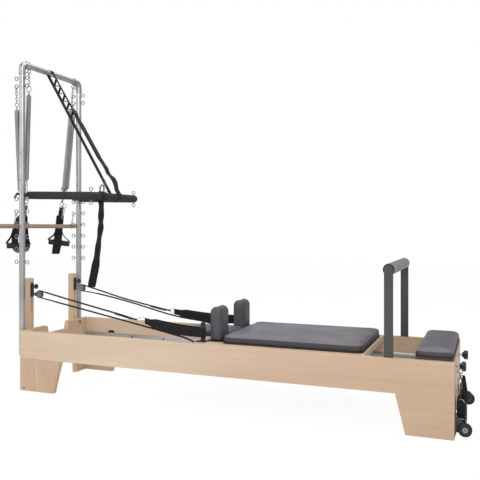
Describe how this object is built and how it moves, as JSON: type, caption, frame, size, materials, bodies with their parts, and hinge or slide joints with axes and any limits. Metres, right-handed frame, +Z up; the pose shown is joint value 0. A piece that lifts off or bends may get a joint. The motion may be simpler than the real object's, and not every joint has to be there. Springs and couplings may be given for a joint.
{
  "type": "pilates reformer with tower",
  "caption": "Pale wooden pilates reformer with a rolling padded carriage, footbar, rope pulleys and a steel tower with springs, push-through bar and straps.",
  "frame": {"origin": "centre of the bounding box in plan, at floor level, under the legs", "axes": "+X towards the foot end with the footbar, -X to the tower end, -Y the near side, +Z up"},
  "size_m": [2.7518, 0.938, 2.0176],
  "materials": {
    "maple": "clear satin lacquer on pale maple",
    "dowel_wood": "oiled turned wood",
    "grey_vinyl": "matte grey vinyl",
    "steel": "bright plated steel",
    "aluminium": "mill finish",
    "grey_paint": "satin grey powder coat",
    "black_foam": "matte closed-cell foam",
    "black_webbing": "woven webbing",
    "black_plastic": "moulded",
    "rubber": "matte"
  },
  "bodies": {
    "frame": {"carriage_spring_1": "steel", "carriage_spring_2": "steel", "carriage_spring_3": "steel", "cross_member": "maple", "foot_end_board": "maple", "head_end_board": "maple", "head_leg_far": "maple", "head_leg_near": "maple", "platform_board": "black_plastic", "platform_cushion": "grey_vinyl", "riser_far": "maple", "riser_near": "maple", "rope_far": "black_webbing", "rope_near": "black_webbing", "safety_strap": "black_webbing", "side_rail_far": "maple", "side_rail_near": "maple", "spring_bar": "steel", "tower_spring_far_inner": "steel", "tower_spring_far_outer": "steel", "tower_spring_near_inner": "steel", "tower_spring_near_outer": "steel", "tower_top_bar": "steel", "track_far": "aluminium", "track_near": "aluminium", "upright_far": "steel", "upright_near": "steel", "wheel_bracket_far": "black_plastic", "wheel_bracket_near": "black_plastic"},
    "carriage": {"carriage_base": "maple", "carriage_cushion": "grey_vinyl", "shoulder_rest_near": "grey_vinyl", "loop_post_near": "steel", "foot_loop_near": "black_webbing", "shoulder_rest_far": "grey_vinyl", "loop_post_far": "steel", "foot_loop_far": "black_webbing"},
    "headrest": {"headrest": "grey_vinyl"},
    "footbar": {"footbar_frame": "grey_paint", "footbar_grip": "grey_vinyl"},
    "push_bar": {"push_through_bar": "black_foam"},
    "hanging_strap": {"hanging_strap": "black_webbing"},
    "roll_down_bar": {"roll_down_bar": "dowel_wood"},
    "spare_strap_set": {"spare_strap_set": "black_webbing"},
    "roller_near_head": {"roller_near_head": "rubber"},
    "roller_near_foot": {"roller_near_foot": "rubber"},
    "pulley_near": {"pulley_slider_near": "black_plastic", "pulley_block_near": "steel"},
    "sheave_near": {"pulley_sheave_near": "black_plastic"},
    "handle_near": {"handle_near": "black_webbing"},
    "foot_knob_near": {"foot_knob_near": "black_plastic"},
    "transport_wheel_near": {"transport_wheel_near": "rubber"},
    "roller_far_head": {"roller_far_head": "rubber"},
    "roller_far_foot": {"roller_far_foot": "rubber"},
    "pulley_far": {"pulley_slider_far": "black_plastic", "pulley_block_far": "steel"},
    "sheave_far": {"pulley_sheave_far": "black_plastic"},
    "handle_far": {"handle_far": "black_webbing"},
    "foot_knob_far": {"foot_knob_far": "black_plastic"},
    "transport_wheel_far": {"transport_wheel_far": "rubber"}
  },
  "joints": [
    {"name": "carriage_slide", "type": "slide", "parent": "frame", "child": "carriage", "axis": [-1, 0, 0], "range_m": [0, 0.85], "stiffness_N_per_m": 80, "springref_m": -0.1, "deforming": ["carriage_spring_1", "carriage_spring_2", "carriage_spring_3", "rope_near", "rope_far", "foot_loop_near", "foot_loop_far"]},
    {"name": "headrest_tilt", "type": "hinge", "parent": "carriage", "child": "headrest", "pos_m": [0.09285, 0.139, 0.395], "axis": [0, 1, 0], "range_deg": [0, 50]},
    {"name": "footbar_tilt", "type": "hinge", "parent": "frame", "child": "footbar", "pos_m": [0.99685, 0.139, 0.3], "axis": [0, 1, 0], "range_deg": [-40, 35]},
    {"name": "push_bar_swing", "type": "hinge", "parent": "frame", "child": "push_bar", "pos_m": [-1.21945, 0.139, 1.19], "axis": [0, -1, 0], "range_deg": [0, 75], "deforming": ["safety_strap"]},
    {"name": "hanging_strap_swing", "type": "hinge", "parent": "push_bar", "child": "hanging_strap", "pos_m": [-0.72915, -0.026, 1.178], "axis": [0, 1, 0], "range_deg": [-60, 30]},
    {"name": "roll_down_bar_swing", "type": "hinge", "parent": "frame", "child": "roll_down_bar", "pos_m": [-1.25345, 0.139, 1.0774], "axis": [0, 1, 0], "range_deg": [0, 6]},
    {"name": "spare_strap_swing", "type": "hinge", "parent": "frame", "child": "spare_strap_set", "pos_m": [1.31885, -0.061, 0.2898], "axis": [0, -1, 0], "range_deg": [0, 40]},
    {"name": "roller_near_head_spin", "type": "hinge", "parent": "carriage", "child": "roller_near_head", "pos_m": [0.06885, -0.141, 0.2478], "axis": [0, 1, 0], "continuous": true},
    {"name": "roller_near_foot_spin", "type": "hinge", "parent": "carriage", "child": "roller_near_foot", "pos_m": [0.78885, -0.141, 0.2478], "axis": [0, 1, 0], "continuous": true},
    {"name": "pulley_height_near", "type": "slide", "parent": "frame", "child": "pulley_near", "axis": [0, 0, 1], "range_m": [-0.15, 0.02], "deforming": ["rope_near"]},
    {"name": "sheave_spin_near", "type": "hinge", "parent": "pulley_near", "child": "sheave_near", "pos_m": [-1.14115, -0.081, 0.573], "axis": [0, 1, 0], "continuous": true},
    {"name": "handle_swing_near", "type": "hinge", "parent": "frame", "child": "handle_near", "pos_m": [-1.25615, -0.104, 1.1635], "axis": [0, 1, 0], "range_deg": [0, 25], "deforming": ["tower_spring_near_inner", "tower_spring_near_outer"]},
    {"name": "foot_knob_turn_near", "type": "hinge", "parent": "frame", "child": "foot_knob_near", "pos_m": [1.29885, -0.011, 0.31], "axis": [1, 0, 0], "continuous": true},
    {"name": "transport_wheel_spin_near", "type": "hinge", "parent": "frame", "child": "transport_wheel_near", "pos_m": [1.34385, -0.151, 0.044], "axis": [0, 1, 0], "continuous": true},
    {"name": "roller_far_head_spin", "type": "hinge", "parent": "carriage", "child": "roller_far_head", "pos_m": [0.06885, 0.419, 0.2478], "axis": [0, 1, 0], "continuous": true},
    {"name": "roller_far_foot_spin", "type": "hinge", "parent": "carriage", "child": "roller_far_foot", "pos_m": [0.78885, 0.419, 0.2478], "axis": [0, 1, 0], "continuous": true},
    {"name": "pulley_height_far", "type": "slide", "parent": "frame", "child": "pulley_far", "axis": [0, 0, 1], "range_m": [-0.15, 0.02], "deforming": ["rope_far"]},
    {"name": "sheave_spin_far", "type": "hinge", "parent": "pulley_far", "child": "sheave_far", "pos_m": [-1.14115, 0.359, 0.573], "axis": [0, 1, 0], "continuous": true},
    {"name": "handle_swing_far", "type": "hinge", "parent": "frame", "child": "handle_far", "pos_m": [-1.25615, 0.294, 1.1635], "axis": [0, 1, 0], "range_deg": [0, 25], "deforming": ["tower_spring_far_inner", "tower_spring_far_outer"]},
    {"name": "foot_knob_turn_far", "type": "hinge", "parent": "frame", "child": "foot_knob_far", "pos_m": [1.29885, 0.289, 0.31], "axis": [1, 0, 0], "continuous": true},
    {"name": "transport_wheel_spin_far", "type": "hinge", "parent": "frame", "child": "transport_wheel_far", "pos_m": [1.34385, 0.429, 0.044], "axis": [0, 1, 0], "continuous": true}
  ],
  "couplings": [
    {"joint": "roller_near_head_spin", "follows": "carriage_slide", "rad_per_m": -45.455},
    {"joint": "roller_near_foot_spin", "follows": "carriage_slide", "rad_per_m": -45.455},
    {"joint": "roller_far_head_spin", "follows": "carriage_slide", "rad_per_m": -45.455},
    {"joint": "roller_far_foot_spin", "follows": "carriage_slide", "rad_per_m": -45.455}
  ]
}
